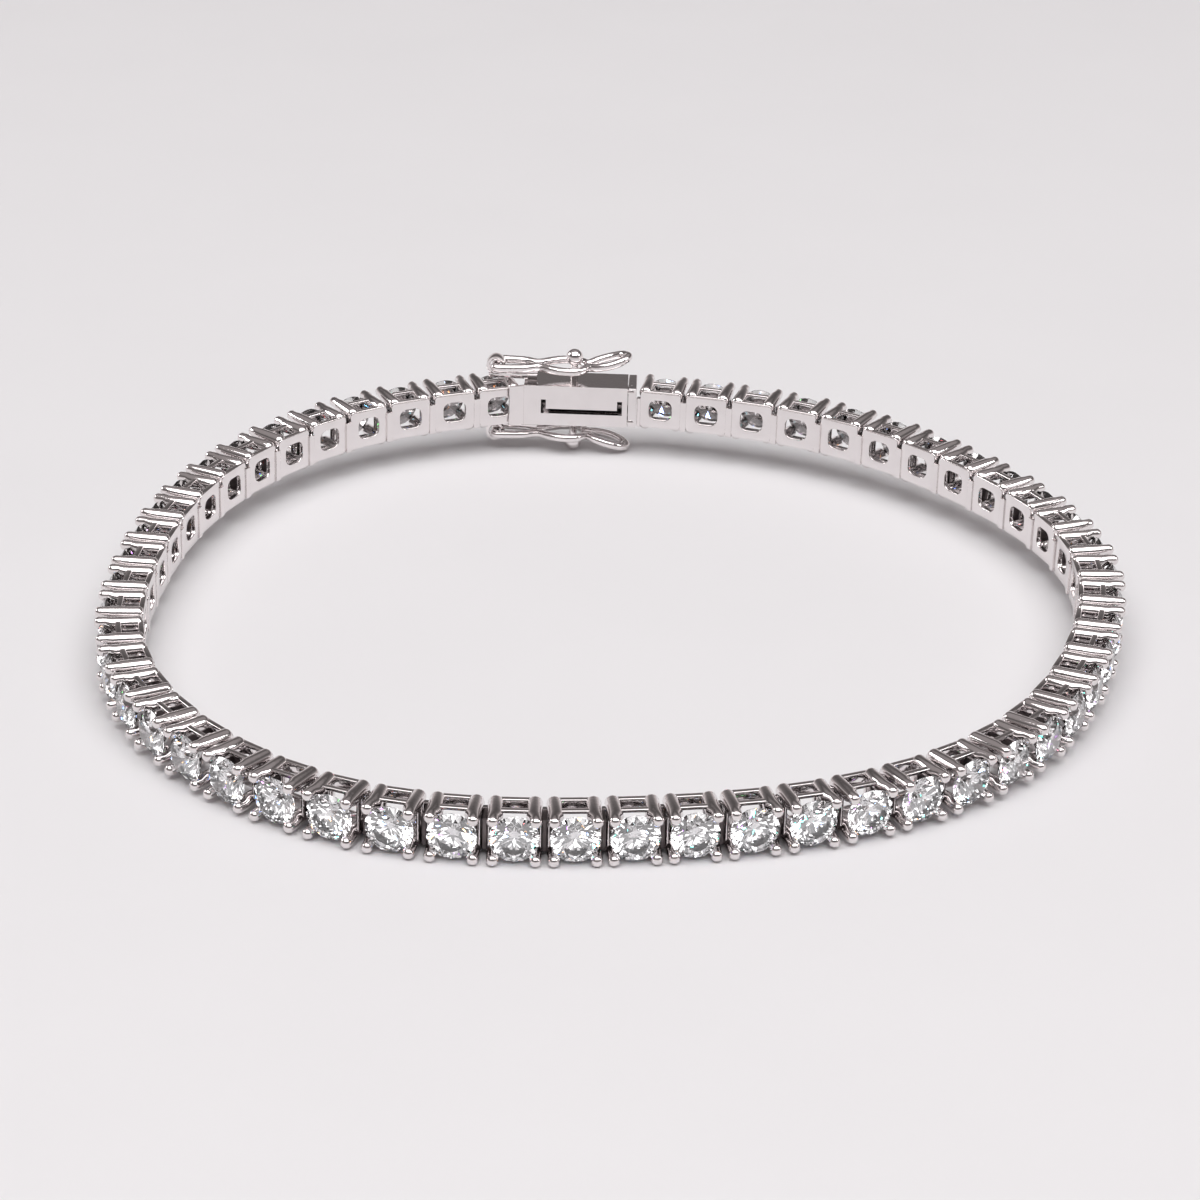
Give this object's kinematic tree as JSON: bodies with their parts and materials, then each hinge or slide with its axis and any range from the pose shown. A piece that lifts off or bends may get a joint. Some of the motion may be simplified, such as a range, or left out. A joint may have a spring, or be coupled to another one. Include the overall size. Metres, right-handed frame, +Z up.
{
  "type": "tennis bracelet",
  "caption": "Line bracelet of four-claw links set with round clear stones, closed by a box clasp with two figure-eight safety latches, standing on its edge.",
  "frame": {"origin": "under the middle of the bracelet's bounding box, on the surface that it stands on", "axes": "+Z up, across the bracelet's width; +Y from the front links to the clasp; +X along the clasp, from its hinged latch ends to its tongue"},
  "size_m": [0.0622, 0.0592, 0.0074],
  "materials": {
    "white_metal": "high polish",
    "spring_metal": "polished"
  },
  "bodies": {
    "bracelet": {"strand_right": "white_metal", "strand_left": "white_metal", "clasp_box": "white_metal", "clasp_tongue": "spring_metal"},
    "upper_latch": {"latch_upper": "white_metal"},
    "lower_latch": {"latch_lower": "white_metal"}
  },
  "joints": [
    {"name": "upper_latch_hinge", "type": "hinge", "parent": "bracelet", "child": "upper_latch", "pos_m": [-0.00917, 0.02815, 0.00619], "axis": [0, -1, 0], "range_deg": [0, 110]},
    {"name": "lower_latch_hinge", "type": "hinge", "parent": "bracelet", "child": "lower_latch", "pos_m": [-0.00917, 0.02815, 0.00125], "axis": [0, 1, 0], "range_deg": [0, 110]}
  ]
}
